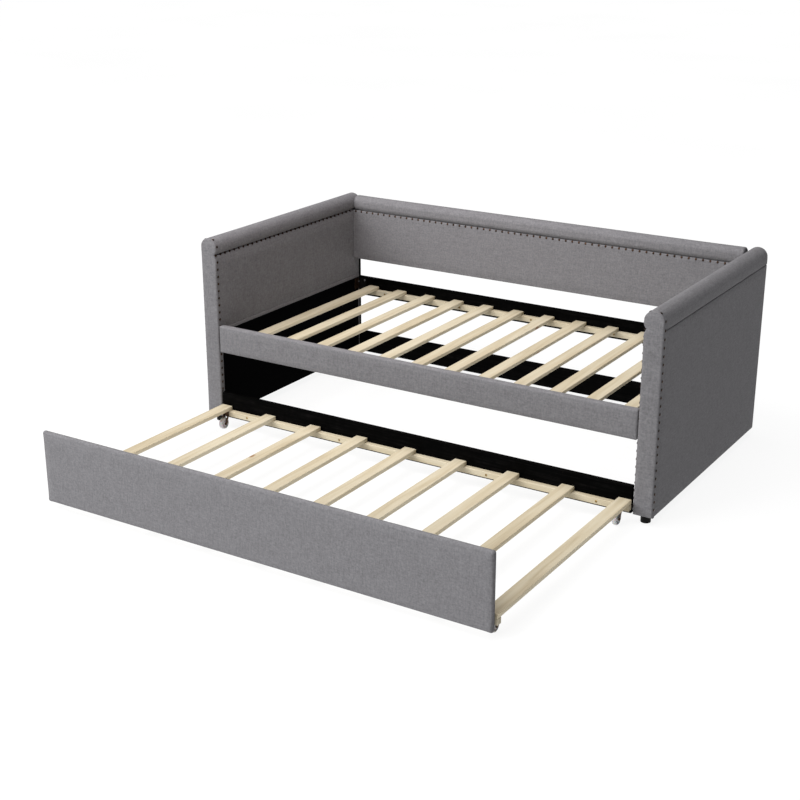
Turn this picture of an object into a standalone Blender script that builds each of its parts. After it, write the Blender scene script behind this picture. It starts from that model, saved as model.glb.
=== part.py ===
"""Upholstered daybed with a pull-out trundle on casters.

Metres, +Z up, X along the bed, Y from front to back. The origin is on the floor under the middle of
the whole object with the trundle pulled out, which is how it is modelled. Grey padded arms, back and
front rail stand on four feet round a pine slat base. The trundle rolls in under it on four casters.
"""

import math

import bmesh
import bpy
from mathutils import Matrix, Vector

# ---------------------------------------------------------------- driving dimensions
FIT = 0.0003  # gap left between pieces that touch
CUT_MARGIN = 0.02  # how far a cutter reaches past the open side of its cut

INNER_LENGTH = 1.930  # between the arms, a twin mattress and its bedding
DEPTH = 1.100  # front face of the rail to the back face of the bed
ARM_THICKNESS = 0.080
ARM_BOTTOM = 0.032
CREASE_HEIGHT = 0.754  # where the padded rolls sit on the arms and the back
ROLL_TOP = 0.823
CREASE_DEPTH = 0.011  # how far the roll is undercut on its inner side
SEAM_NOTCH = 0.002  # and on its outer side
ROLL_STEPS = 20  # facets round its section
PAD_CORNER = 0.004  # rounding of the padded corners
PAD_WALL = 0.012  # foam, skin and fabric round a core

LINER_TOP = 0.4155  # the black lining covers the arm's inner face below this
LINER_THICKNESS = 0.003
LINER_SETBACK = 0.023  # its front and back edges behind the arm's
LINER_LAP = 0.010  # padding left round the core behind the edges of the lining

BACK_THICKNESS = 0.064
BACK_BOTTOM = 0.518
BACK_CORE_THICKNESS = 0.040
BACK_ROLL_DROP = 0.002  # the back roll's top below the arm rolls'
BACK_ROLL_END_GAP = 0.004

RAIL_THICKNESS = 0.030
RAIL_BOTTOM = 0.327
RAIL_TOP = 0.445
RAIL_WALL = 0.007  # padding over the front of its board
RAIL_EDGE_WALL = 0.010  # and over the board's top, bottom and ends
RAIL_ROUNDING = 0.006

BOARD_THICKNESS = 0.020
BOARD_EDGE = 0.001
BACK_RAIL_BOTTOM = 0.327
BACK_RAIL_TOP = 0.418
LOWER_RAIL_BOTTOM = 0.038
LOWER_RAIL_TOP = 0.141

SLAT_WIDTH = 0.053
SLAT_THICKNESS = 0.015
SLAT_EDGE = 0.0015
SLAT_COUNT = 12
SLAT_PITCH = 0.1574
SLAT_SHIFT = -0.007  # middle of the row of slats, left of the bed's
SLAT_BOTTOM = 0.3668
CLEAT_DEPTH = 0.024
CLEAT_HEIGHT = 0.024
CLEAT_END_GAP = 0.045

FOOT_RADIUS = 0.0195
FOOT_EDGE = 0.001
FOOT_SETBACK = 0.038  # foot centre to the front or back face
BACK_FOOT_INSET = 0.020  # back feet nearer to the arm's inner face than its middle

BRACKET_THICKNESS = 0.0025
BRACKET_HEIGHT = 0.052
BRACKET_RISE = 0.0135  # its middle above the middle of the back rail
BRACKET_ARM_LEG = 0.040
BRACKET_RAIL_LEG = 0.044

TRUNDLE_LENGTH = 1.922
TRUNDLE_OUT = 1.058  # front faces of the trundle and the daybed, pulled out as modelled
TRUNDLE_DEPTH = 1.076
TRUNDLE_PANEL_LENGTH = 1.916
TRUNDLE_PANEL_SHIFT = -0.004  # its middle, left of the slat base behind it
TRUNDLE_PANEL_THICKNESS = 0.022
TRUNDLE_PANEL_BOTTOM = 0.0285
TRUNDLE_PANEL_TOP = 0.315
TRUNDLE_WALL = 0.005
TRUNDLE_EDGE_WALL = 0.012
TRUNDLE_ROUNDING = 0.009
TRUNDLE_BOARD_THICKNESS = 0.018
TRUNDLE_BOARD_BOTTOM = 0.036
TRUNDLE_BOARD_TOP = 0.1465
TRUNDLE_SLAT_COUNT = 9
TRUNDLE_SLAT_BOTTOM = 0.075
TRUNDLE_SLAT_THICKNESS = 0.017
TRUNDLE_CLEAT_HEIGHT = 0.024

WHEEL_RADIUS = 0.0245
WHEEL_WIDTH = 0.020
WHEEL_HUB_RADIUS = 0.009
WHEEL_RIM = 0.005  # how far the rim reaches in from the tread
WHEEL_DISH = 0.003  # how deep the sides are dished between hub and rim
WHEEL_SLOPE = 0.001
WHEEL_TREAD_EDGE = 0.003
WHEEL_SETBACK = 0.021  # axle centre to the cleat's face
WHEEL_INSET = 0.038  # wheel's middle to the end of the trundle
AXLE_RADIUS = 0.004
AXLE_OVERHANG = 0.0015  # past each cheek
FORK_PLATE = 0.002
FORK_SIDE_GAP = 0.001
FORK_LOBE = 0.008
FORK_HEIGHT = 0.021
FORK_LAP = 0.0007  # how far the cheeks start inside the flange's faces
ROUND_SIDES = 16  # facets round an axle and a fork's lobe
FOOT_SIDES = 32
TURN_STEPS = 32

# ---------------------------------------------------------------- places worked out from them
HALF_LENGTH = INNER_LENGTH / 2
FRONT = (TRUNDLE_OUT - DEPTH) / 2  # the daybed's front face
BACK = FRONT + DEPTH
TRUNDLE_FRONT = FRONT - TRUNDLE_OUT
TRUNDLE_BACK = TRUNDLE_FRONT + TRUNDLE_DEPTH
TRUNDLE_PANEL_BACK = TRUNDLE_FRONT + TRUNDLE_PANEL_THICKNESS
TRUNDLE_BOARD_FRONT = TRUNDLE_BACK - TRUNDLE_BOARD_THICKNESS
SIDES = (("left", -1), ("right", 1))
ALONG_X = Matrix.Rotation(math.pi / 2, 4, "Y")  # turns a disc's axis from Z to X

# ---------------------------------------------------------------- scene and materials
for old in list(bpy.data.objects):
    bpy.data.objects.remove(old, do_unlink=True)


def new_collection(name):
    made = bpy.data.collections.new(name)
    bpy.context.scene.collection.children.link(made)
    return made


PARTS = new_collection("trundle_daybed")
CUTTERS = new_collection("cutters")
CUTTERS.hide_render = True


def material(name, colour, roughness, metallic=0.0):
    made = bpy.data.materials.new(name)
    made.use_nodes = True
    shader = made.node_tree.nodes["Principled BSDF"]
    shader.inputs["Base Color"].default_value = (*colour, 1.0)
    shader.inputs["Roughness"].default_value = roughness
    shader.inputs["Metallic"].default_value = metallic
    made.diffuse_color = (*colour, 1.0)
    return made


LINEN = material("grey_linen", (0.19, 0.19, 0.20), 0.9)
LINING = material("black_lining", (0.012, 0.012, 0.013), 0.85)
CORE = material("core_board", (0.55, 0.42, 0.27), 0.8)
BLACK_BOARD = material("black_board", (0.010, 0.010, 0.011), 0.5)
PINE = material("pine", (0.72, 0.58, 0.38), 0.6)
FOOT_PLASTIC = material("foot_plastic", (0.012, 0.012, 0.012), 0.45)
BLACK_STEEL = material("black_steel", (0.012, 0.012, 0.012), 0.45, 0.3)
BRONZE = material("bronze_steel", (0.16, 0.095, 0.05), 0.4, 0.9)
NYLON = material("white_nylon", (0.80, 0.80, 0.80), 0.35)


# ---------------------------------------------------------------- building helpers
def add_object(name, mesh, colour, place=(0, 0, 0), collection=None):
    made = bpy.data.objects.new(name, mesh)
    made.location = place
    (collection or PARTS).objects.link(made)
    if colour is not None:
        mesh.materials.append(colour)
    return made


def mesh_from(name, build):
    """A mesh that build fills through bmesh."""
    mesh = bpy.data.meshes.new(name)
    work = bmesh.new()
    build(work)
    bmesh.ops.recalc_face_normals(work, faces=work.faces)
    work.to_mesh(mesh)
    work.free()
    return mesh


def box_mesh(name, size):
    def build(work):
        bmesh.ops.create_cube(work, size=1.0)
        bmesh.ops.scale(work, vec=size, verts=work.verts)

    return mesh_from(name, build)


def add_disc(work, radius, depth, sides, turn):
    bmesh.ops.create_cone(
        work,
        cap_ends=True,
        segments=sides,
        radius1=radius,
        radius2=radius,
        depth=depth,
        matrix=turn,
    )


def disc_mesh(name, radius, depth, sides, turn):
    return mesh_from(name, lambda work: add_disc(work, radius, depth, sides, turn))


def add_bevel(piece, width, segments):
    bevel = piece.modifiers.new("rounded_edges", "BEVEL")
    bevel.width = width
    bevel.segments = segments
    bevel.limit_method = "ANGLE"
    bevel.angle_limit = math.radians(40)
    return bevel


def box(name, low, high, colour, rounding=0.0, segments=1):
    """A box between two corners, with its origin at its centre."""
    low = Vector(low)
    high = Vector(high)
    piece = add_object(name, box_mesh(name, high - low), colour, (low + high) / 2)
    if rounding:
        add_bevel(piece, rounding, segments)
    return piece


def tool_box(name, low, high):
    low = Vector(low)
    high = Vector(high)
    piece = add_object(name, box_mesh(name, high - low), None, (low + high) / 2, CUTTERS)
    hide_tool(piece)
    return piece


def hide_tool(piece):
    piece.hide_render = True
    piece.display_type = "WIRE"


def combine(piece, tool, operation):
    boolean = piece.modifiers.new(tool.name, "BOOLEAN")
    boolean.operation = operation
    boolean.object = tool
    boolean.solver = "EXACT"


def cut_box(piece, label, low, high):
    combine(piece, tool_box(piece.name + "_" + label, low, high), "DIFFERENCE")


def sided(side, near, far):
    """The X range between two distances outward from the middle of the bed, low end first."""
    return (near, far) if side > 0 else (-far, -near)


def span(side, near, far, y_range, z_range):
    """Two box corners on one side of the bed."""
    x_low, x_high = sided(side, near, far)
    return (x_low, y_range[0], z_range[0]), (x_high, y_range[1], z_range[1])


def roll_outline(width, height):
    """Corners of a roll's section, its inner underside corner first, going round over the top.

    The section is a circle as wide as the padding under it. It is cut off flat at the crease, where
    the inner side is undercut, and its outer side drops straight to the seam.
    """
    radius = width / 2
    centre = Vector((radius, height - radius))
    crease = Vector((CREASE_DEPTH, 0))
    start = math.atan2(crease.y - centre.y, crease.x - centre.x) + 2 * math.pi
    points = [crease]
    for step in range(1, ROLL_STEPS + 1):
        angle = start * (1 - step / ROLL_STEPS)
        points.append(centre + Vector((math.cos(angle), math.sin(angle))) * radius)
    points.append(Vector((width, SEAM_NOTCH)))
    points.append(Vector((width - SEAM_NOTCH, 0)))
    return points


def roll(name, width, height, length, place, turn, mirrored):
    """A padded roll: its section drawn flat and pulled out to its length."""
    outline = bpy.data.curves.new(name, "CURVE")
    outline.dimensions = "2D"
    outline.fill_mode = "BOTH"
    outline.extrude = length / 2
    spline = outline.splines.new("POLY")
    points = roll_outline(width, height)
    spline.points.add(len(points) - 1)
    for corner, point in zip(spline.points, points):
        corner.co = (-point.x if mirrored else point.x, point.y, 0, 1)
    spline.use_cyclic_u = True
    outline.materials.append(LINEN)
    piece = bpy.data.objects.new(name, outline)
    piece.location = place
    piece.rotation_euler = turn
    PARTS.objects.link(piece)
    return piece


# ---------------------------------------------------------------- daybed: arms, back and front rail
def padded_arm(label, side):
    """A hollow padded shell, closed on its inner face by the black lining, round a core board."""
    inner = HALF_LENGTH
    outer = HALF_LENGTH + ARM_THICKNESS
    top = CREASE_HEIGHT
    cover = box(
        label + "_arm_cover",
        *span(side, inner, outer, (FRONT, BACK), (ARM_BOTTOM, top)),
        LINEN,
        PAD_CORNER,
        3,
    )
    in_y = (FRONT + PAD_WALL, BACK - PAD_WALL)
    floor = ARM_BOTTOM + PAD_WALL
    cut_box(
        cover,
        "hollow",
        *span(side, inner + PAD_WALL, outer - PAD_WALL, in_y, (floor, top - PAD_WALL)),
    )
    liner_y = (FRONT + LINER_SETBACK, BACK - LINER_SETBACK)
    window_y = (liner_y[0] + LINER_LAP, liner_y[1] - LINER_LAP)
    window_z = (floor + LINER_LAP, LINER_TOP - LINER_LAP)
    cut_box(cover, "window", *span(side, inner - CUT_MARGIN, inner + CUT_MARGIN, window_y, window_z))
    recess = LINER_THICKNESS + 2 * FIT
    cut_box(
        cover,
        "liner_recess",
        *span(side, inner - CUT_MARGIN, inner + recess, liner_y, (ARM_BOTTOM - CUT_MARGIN, LINER_TOP)),
    )
    box(
        label + "_arm_liner",
        *span(
            side,
            inner + FIT,
            inner + FIT + LINER_THICKNESS,
            (liner_y[0] + FIT, liner_y[1] - FIT),
            (ARM_BOTTOM + FIT, LINER_TOP - FIT),
        ),
        LINING,
    )
    box(
        label + "_arm_core",
        *span(
            side,
            inner + PAD_WALL + FIT,
            outer - PAD_WALL - FIT,
            (in_y[0] + FIT, in_y[1] - FIT),
            (floor + FIT, top - PAD_WALL - FIT),
        ),
        CORE,
    )
    roll(
        label + "_arm_roll",
        ARM_THICKNESS,
        ROLL_TOP - top - FIT,
        DEPTH,
        (side * inner, (FRONT + BACK) / 2, top + FIT),
        (math.pi / 2, 0, 0),
        side < 0,
    )


def padded_back():
    """A padded panel round a core board, open underneath, with a roll along its top."""
    front = BACK - BACK_THICKNESS
    end = HALF_LENGTH - FIT
    cover = box(
        "back_cover",
        (-end, front, BACK_BOTTOM),
        (end, BACK, CREASE_HEIGHT),
        LINEN,
        PAD_CORNER,
        3,
    )
    middle = (front + BACK) / 2
    half_core = BACK_CORE_THICKNESS / 2
    slot_end = end - PAD_WALL
    slot_top = CREASE_HEIGHT - PAD_WALL
    cut_box(
        cover,
        "core_slot",
        (-slot_end, middle - half_core, BACK_BOTTOM - CUT_MARGIN),
        (slot_end, middle + half_core, slot_top),
    )
    box(
        "back_core",
        (-slot_end + FIT, middle - half_core + FIT, BACK_BOTTOM),
        (slot_end - FIT, middle + half_core - FIT, slot_top - FIT),
        CORE,
    )
    roll(
        "back_roll",
        BACK_THICKNESS,
        ROLL_TOP - BACK_ROLL_DROP - CREASE_HEIGHT - FIT,
        INNER_LENGTH - 2 * BACK_ROLL_END_GAP,
        (0, front, CREASE_HEIGHT + FIT),
        (math.pi / 2, 0, math.pi / 2),
        False,
    )


def padded_board(name, low, high, front_wall, edge_wall, rounding, board_name):
    """A padded cover, open at the back, with its board let into it flush."""
    cover = box(name, low, high, LINEN, rounding, 3)
    low = Vector(low) + Vector((edge_wall, front_wall, edge_wall))
    high = Vector(high) - Vector((edge_wall, 0, edge_wall))
    cut_box(cover, "board_pocket", low, high + Vector((0, CUT_MARGIN, 0)))
    gap = Vector((FIT, FIT, FIT))
    box(board_name, low + gap, high - gap, BLACK_BOARD)


def front_rail():
    end = HALF_LENGTH - FIT
    padded_board(
        "front_rail_cover",
        (-end, FRONT, RAIL_BOTTOM),
        (end, FRONT + RAIL_THICKNESS, RAIL_TOP),
        RAIL_WALL,
        RAIL_EDGE_WALL,
        RAIL_ROUNDING,
        "front_rail_board",
    )


def back_rails():
    end = HALF_LENGTH - FIT
    front = BACK - BOARD_THICKNESS
    rails = (
        ("back_rail", BACK_RAIL_BOTTOM, BACK_RAIL_TOP),
        ("lower_back_rail", LOWER_RAIL_BOTTOM, LOWER_RAIL_TOP),
    )
    for name, bottom, top in rails:
        box(name, (-end, front, bottom), (end, BACK, top), BLACK_BOARD, BOARD_EDGE)


def feet():
    """Round feet. The back pair stand nearer to the arms' inner faces."""
    height = ARM_BOTTOM - FIT
    middle = HALF_LENGTH + ARM_THICKNESS / 2
    ends = (
        ("front", FRONT + FOOT_SETBACK, middle),
        ("back", BACK - FOOT_SETBACK, middle - BACK_FOOT_INSET),
    )
    for label, side in SIDES:
        for end, y, x in ends:
            name = f"foot_{end}_{label}"
            mesh = disc_mesh(name, FOOT_RADIUS, height, FOOT_SIDES, Matrix.Identity(4))
            foot = add_object(name, mesh, FOOT_PLASTIC, (side * x, y, height / 2))
            add_bevel(foot, FOOT_EDGE, 1)


def brackets():
    """An L of steel in each corner, one leg on the arm and one on the rail."""
    middle = (BACK_RAIL_BOTTOM + BACK_RAIL_TOP) / 2 + BRACKET_RISE
    z_range = (middle - BRACKET_HEIGHT / 2, middle + BRACKET_HEIGHT / 2)
    wall = HALF_LENGTH - FIT
    rails = (
        ("front", FRONT + RAIL_THICKNESS + FIT, 1),
        ("back", BACK - BOARD_THICKNESS - FIT, -1),
    )
    for label, side in SIDES:
        for end, face, inward in rails:
            arm_y = sorted((face, face + inward * BRACKET_ARM_LEG))
            rail_y = sorted((face, face + inward * BRACKET_THICKNESS))
            name = f"bracket_{end}_{label}"
            plate = span(side, wall - BRACKET_THICKNESS, wall, arm_y, z_range)
            bracket = box(name, *plate, BLACK_STEEL)
            leg = span(side, wall - BRACKET_RAIL_LEG, wall, rail_y, z_range)
            combine(bracket, tool_box(name + "_rail_leg", *leg), "UNION")


# ---------------------------------------------------------------- slat bases
def slats(prefix, count, pitch, middle, y_range, bottom, thickness):
    for index in range(count):
        x = middle + (index - (count - 1) / 2) * pitch
        box(
            f"{prefix}_{index + 1:02d}",
            (x - SLAT_WIDTH / 2, y_range[0] + FIT, bottom + FIT),
            (x + SLAT_WIDTH / 2, y_range[1] - FIT, bottom + thickness + FIT),
            PINE,
            SLAT_EDGE,
        )


def cleat(name, half_length, y_range, top, height):
    low = (-half_length, y_range[0], top - height)
    box(name, low, (half_length, y_range[1], top), PINE, SLAT_EDGE)


def daybed_base():
    rail_face = FRONT + RAIL_THICKNESS
    board_face = BACK - BOARD_THICKNESS
    half = HALF_LENGTH - CLEAT_END_GAP
    front_y = (rail_face + FIT, rail_face + CLEAT_DEPTH)
    back_y = (board_face - CLEAT_DEPTH, board_face - FIT)
    cleat("front_cleat", half, front_y, SLAT_BOTTOM, CLEAT_HEIGHT)
    cleat("back_cleat", half, back_y, SLAT_BOTTOM, CLEAT_HEIGHT)
    y_range = (rail_face, board_face)
    slats("slat", SLAT_COUNT, SLAT_PITCH, SLAT_SHIFT, y_range, SLAT_BOTTOM, SLAT_THICKNESS)


def trundle_frame():
    half = TRUNDLE_LENGTH / 2
    panel_low = TRUNDLE_PANEL_SHIFT - TRUNDLE_PANEL_LENGTH / 2
    padded_board(
        "trundle_front_cover",
        (panel_low, TRUNDLE_FRONT, TRUNDLE_PANEL_BOTTOM),
        (panel_low + TRUNDLE_PANEL_LENGTH, TRUNDLE_PANEL_BACK, TRUNDLE_PANEL_TOP),
        TRUNDLE_WALL,
        TRUNDLE_EDGE_WALL,
        TRUNDLE_ROUNDING,
        "trundle_front_board",
    )
    box(
        "trundle_back_board",
        (-half, TRUNDLE_BOARD_FRONT, TRUNDLE_BOARD_BOTTOM),
        (half, TRUNDLE_BACK, TRUNDLE_BOARD_TOP),
        BLACK_BOARD,
        BOARD_EDGE,
    )
    top = TRUNDLE_SLAT_BOTTOM
    front_y = (TRUNDLE_PANEL_BACK + FIT, TRUNDLE_PANEL_BACK + CLEAT_DEPTH)
    back_y = (TRUNDLE_BOARD_FRONT - CLEAT_DEPTH, TRUNDLE_BOARD_FRONT - FIT)
    cleat("trundle_front_cleat", half, front_y, top, TRUNDLE_CLEAT_HEIGHT)
    cleat("trundle_back_cleat", half, back_y, top, TRUNDLE_CLEAT_HEIGHT)
    pitch = (TRUNDLE_LENGTH - SLAT_WIDTH) / (TRUNDLE_SLAT_COUNT - 1)
    y_range = (TRUNDLE_PANEL_BACK, TRUNDLE_BOARD_FRONT)
    slats("trundle_slat", TRUNDLE_SLAT_COUNT, pitch, 0, y_range, top, TRUNDLE_SLAT_THICKNESS)


# ---------------------------------------------------------------- casters
def wheel_mesh():
    """Profile of a solid wheel with a webbed side, in radius and width, closed round its bore."""
    bore = AXLE_RADIUS + FIT
    half = WHEEL_WIDTH / 2
    rim = WHEEL_RADIUS - WHEEL_RIM
    side = (
        (bore, half),
        (WHEEL_HUB_RADIUS, half),
        (WHEEL_HUB_RADIUS + WHEEL_SLOPE, half - WHEEL_DISH),
        (rim - WHEEL_SLOPE, half - WHEEL_DISH),
        (rim, half),
        (WHEEL_RADIUS, half - WHEEL_TREAD_EDGE),
    )
    outline = list(side) + [(radius, -width) for radius, width in reversed(side)]
    mesh = bpy.data.meshes.new("caster_wheel")
    work = bmesh.new()
    corners = [work.verts.new((radius, 0, width)) for radius, width in outline]
    for first, second in zip(corners, corners[1:] + corners[:1]):
        work.edges.new((first, second))
    work.to_mesh(mesh)
    work.free()
    mesh.materials.append(NYLON)
    return mesh


def turned(piece):
    screw = piece.modifiers.new("turned", "SCREW")
    screw.angle = 2 * math.pi
    screw.steps = TURN_STEPS
    screw.render_steps = TURN_STEPS
    screw.use_merge_vertices = True
    screw.merge_threshold = 0.0001
    screw.use_smooth_shade = True


def round_bar(name, radius, length, place):
    """A bar along X, used as a union tool."""
    mesh = disc_mesh(name, radius, length, ROUND_SIDES, ALONG_X)
    piece = add_object(name, mesh, None, place, CUTTERS)
    hide_tool(piece)
    return piece


def fork_cheek(name, x, axle_y, flange_y, flange_z):
    """A side plate: the hull of the flange's edge and the round lobe about the axle."""
    half = FORK_PLATE / 2

    def build(work):
        add_disc(work, FORK_LOBE, FORK_PLATE, ROUND_SIDES, ALONG_X)
        for side in (-half, half):
            for height in flange_z:
                work.verts.new((side, flange_y - axle_y, height - WHEEL_RADIUS))
        hull = bmesh.ops.convex_hull(work, input=work.verts)
        spare = {item for item in hull["geom_interior"] + hull["geom_unused"]}
        spare = [item for item in spare if isinstance(item, bmesh.types.BMVert)]
        bmesh.ops.delete(work, geom=spare, context="VERTS")
        bmesh.ops.dissolve_limit(work, angle_limit=math.radians(1), verts=work.verts, edges=work.edges)

    piece = add_object(name, mesh_from(name, build), None, (x, axle_y, WHEEL_RADIUS), CUTTERS)
    hide_tool(piece)
    return piece


def caster(label, x, cleat_face, inward, wheel_shape):
    """A fixed caster on the cleat's face. inward is the way from the cleat to the wheel along Y."""
    axle_y = cleat_face + inward * WHEEL_SETBACK
    near = cleat_face + inward * FIT
    far = near + inward * FORK_PLATE
    flange_z = (TRUNDLE_SLAT_BOTTOM - FIT - FORK_HEIGHT, TRUNDLE_SLAT_BOTTOM - FIT)
    half_fork = WHEEL_WIDTH / 2 + FORK_SIDE_GAP + FORK_PLATE
    name = "caster_fork_" + label
    y_low, y_high = sorted((near, far))
    cheek_x = half_fork - FORK_PLATE / 2
    fork = box(name, (x - cheek_x, y_low, flange_z[0]), (x + cheek_x, y_high, flange_z[1]), BRONZE)
    cheek_z = (flange_z[0] + FORK_LAP, flange_z[1] - FORK_LAP)
    for end, offset in (("left", -cheek_x), ("right", cheek_x)):
        cheek_name = f"{name}_{end}_cheek"
        cheek = fork_cheek(cheek_name, x + offset, axle_y, near + inward * FORK_LAP, cheek_z)
        combine(fork, cheek, "UNION")
    axle_length = 2 * (half_fork + AXLE_OVERHANG)
    place = (x, axle_y, WHEEL_RADIUS)
    combine(fork, round_bar(name + "_axle", AXLE_RADIUS, axle_length, place), "UNION")
    wheel = bpy.data.objects.new("caster_wheel_" + label, wheel_shape)
    wheel.location = (x, axle_y, WHEEL_RADIUS)
    wheel.rotation_euler = (0, math.pi / 2, 0)
    PARTS.objects.link(wheel)
    turned(wheel)


def casters():
    shape = wheel_mesh()
    x = TRUNDLE_LENGTH / 2 - WHEEL_INSET
    for label, side in SIDES:
        caster("front_" + label, side * x, TRUNDLE_PANEL_BACK + CLEAT_DEPTH, 1, shape)
        caster("back_" + label, side * x, TRUNDLE_BOARD_FRONT - CLEAT_DEPTH, -1, shape)


def group_trundle():
    """The trundle's pieces hang from one empty at the middle of its front, so it slides as one."""
    handle = bpy.data.objects.new("trundle", None)
    handle.location = (0, TRUNDLE_FRONT, 0)
    PARTS.objects.link(handle)
    bpy.context.view_layer.update()
    for piece in list(PARTS.objects):
        if piece.name.startswith(("trundle_", "caster_")):
            piece.parent = handle
            piece.matrix_parent_inverse = handle.matrix_world.inverted()


def main():
    for label, side in SIDES:
        padded_arm(label, side)
    padded_back()
    front_rail()
    back_rails()
    daybed_base()
    feet()
    brackets()
    trundle_frame()
    casters()
    group_trundle()


main()
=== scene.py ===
"""Looks of the upholstered trundle daybed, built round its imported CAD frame.

Metres, in the frame's own axes: X along the bed, Y from front to back, +Z up. The CAD's padded solids
are replaced by puffed fabric pads. Its slats, boards, linings, feet, brackets and forks stay as they
are and get finer materials. Nails, bolts, screws, hems and tapes are added here.
"""

import math

import bmesh
import bpy
import numpy as np
from mathutils import Matrix, Vector


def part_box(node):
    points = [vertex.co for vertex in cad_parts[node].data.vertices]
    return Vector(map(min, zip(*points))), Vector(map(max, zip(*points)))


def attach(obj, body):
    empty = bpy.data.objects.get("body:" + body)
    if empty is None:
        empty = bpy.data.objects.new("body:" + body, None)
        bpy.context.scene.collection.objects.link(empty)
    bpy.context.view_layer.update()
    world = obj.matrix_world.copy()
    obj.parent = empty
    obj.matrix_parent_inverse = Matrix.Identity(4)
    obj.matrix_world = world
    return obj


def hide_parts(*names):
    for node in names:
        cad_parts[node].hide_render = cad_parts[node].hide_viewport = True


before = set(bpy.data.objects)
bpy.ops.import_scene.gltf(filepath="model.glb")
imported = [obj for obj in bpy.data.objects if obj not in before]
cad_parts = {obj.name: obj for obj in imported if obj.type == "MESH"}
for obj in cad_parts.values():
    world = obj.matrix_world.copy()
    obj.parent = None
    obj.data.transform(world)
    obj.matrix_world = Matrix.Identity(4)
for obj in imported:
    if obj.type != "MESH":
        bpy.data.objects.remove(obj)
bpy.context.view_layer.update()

# ---------------------------------------------------------------- sizes of what is added
FACING_DEPTH = 0.018  # padded front of each arm
FACING_ROUNDING = 0.0055
OVERLAP = 0.004  # how far the pads behind a facing reach into it
SHRINK = 0.001  # how much slimmer they are, which leaves a seam round it
PAD_ROUNDING = 0.004
RAIL_ROUNDING = 0.006
TRUNDLE_ROUNDING = 0.0095
PAD_STEP = 0.016  # spacing of a pad's mesh lines
THIN_STEP = 0.020  # and of a strip's
ROLL_STEP = 0.014
ROLL_STEP_CLEAR = 0.004  # least distance from a roll's last ring to its rounded tip
FACING_COLUMNS = 6  # mesh columns across the flat of a facing
FIT = 0.0003  # gap round a board or a lining let into a pad
LOSE = 0.02  # how far a cutter reaches past the open side of its cut
SEAM_NOTCH = 0.002
CREASE_DEPTH = 0.0092  # how far a roll is undercut on its inner side
CREASE_RISE = 0.021  # height over which the undercut comes out
CREASE_FALL = 0.026  # and over which the slab below it does
SLAB_ROUNDING = 0.012  # top inner edge of an arm's slab
ROLL_BULGE = 0.0013  # a roll's inner side in front of the slab's
ROLL_ROUNDING = 0.0395  # largest rounding over a roll's top
ROLL_TIP = 0.008  # rounding of a roll's ends
TOP_SETBACK = 0.0002  # a slab's top below the CAD's, so that it clears the roll

PUFF_FRAMES = 20
PUFF_PRESSURE = 4.0
PANEL_PUFF = 0.0025
ROLL_PUFF = 0.002
FACING_PUFF = 0.002
EDGE_HELD = 0.006  # width of the strip along a pad's stapled edges that can't puff
JOIN_HELD = 0.012  # the same where a pad runs in behind a facing
CREASE_HELD = 0.004
TIP_HELD = 0.001
FACING_HELD = 0.008  # a facing's side further back than this
HEM_HELD = 0.03  # how deep the strip behind the hem is

NAIL_RADIUS = 0.0057
NAIL_HEIGHT = 0.0020
NAIL_PITCH = 0.0314
NAIL_SETBACK = 0.0115  # nail centres behind an arm's front face
NAIL_FIRST = 0.033  # lowest nail above the arm's bottom
ROLL_NAIL_TURNS = (8.0, 58.0)  # nails round a roll's end, degrees up from level
CREASE_NAIL_INSET = 0.0045
CREASE_NAIL_DROP = 0.001
BACK_NAIL_SINK = 0.001  # the back's nails into its face
BACK_NAIL_DROP = 0.0045  # and under its crease
SCREW_HEAD = (0.0050, 0.0012, 0.0017)  # radius, height, radius of the recess
BOLT_HEAD = (0.0045, 0.0030, 0.0020)

BRACKET_PLATE = 0.0028  # the CAD bracket's face from the arm's or the rail's
FITTING_THICKNESS = 0.0012
FITTING_NEAR = 0.003  # the bronze plate's edges from the rail's face
FITTING_FAR = 0.040
ARM_BOLT_DROP = 0.019  # bolts below the bracket's top
RAIL_BOLT_DROP = 0.010
ARM_BOLT_REACH = 0.007  # arm bolt from the rail
RAIL_BOLT_REACH = 0.037  # rail bolt from the arm
FITTING_GAP = 0.0002  # between the bracket and its bronze plate

HEM_HEIGHT = 0.015
HEM_THICKNESS = 0.0012
TAPE_WIDTH = 0.017
TAPE_THICKNESS = 0.0008
UNDERLINING_DROP = 0.0008  # the cloth under a pad, below its bottom and above it
UNDERLINING_RISE = 0.0006

WHEEL_BORE = 0.0043
WHEEL_SEGMENTS = 56
WHEEL_RIBS = 6
RIB_LENGTH = (0.0095, 0.0056)  # ends of a rib: from the axle, and from the tread
RIB_DEPTH = (0.0045, 0.0012)  # its edges below the wheel's side
RIB_HALF = 0.0009

SIDE_PAINTED_LIGHT = 1.45  # painted light: brightens the colour of the slats' sides, which were built deeper than the photo shows
SOFTEN_WIDTH = 0.0004  # rounding of the CAD's metal and plastic edges
SOFTEN_ANGLE = 35

# Screws along each cleat: which way its free face looks, the body it rides on, and their places along X
CLEAT_SCREWS = (
    ("front_cleat", 1, "daybed", (-0.80, -0.40, 0.0, 0.40, 0.80)),
    ("back_cleat", -1, "daybed", (-0.80, -0.385, -0.01, 0.40, 0.80)),
    ("trundle_front_cleat", 1, "trundle", (-0.82, -0.35, 0.35, 0.82)),
    ("trundle_back_cleat", -1, "trundle", (-0.812, -0.332, 0.361, 0.829)),
)

# ---------------------------------------------------------------- camera, floor and light
CAMERA_AIM = (-0.0175, -0.0728, 0.3096)
CAMERA_AZIMUTH = 32.106  # degrees to the right of straight in front
CAMERA_ELEVATION = 20.15
CAMERA_DISTANCE = 5.7
CAMERA_LENS = 64.9
CAMERA_SENSOR = 36
FLOOR_RADIUS = 40
FLOOR_GLOW = 0.90
WORLD_LIGHT = 0.02
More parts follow.
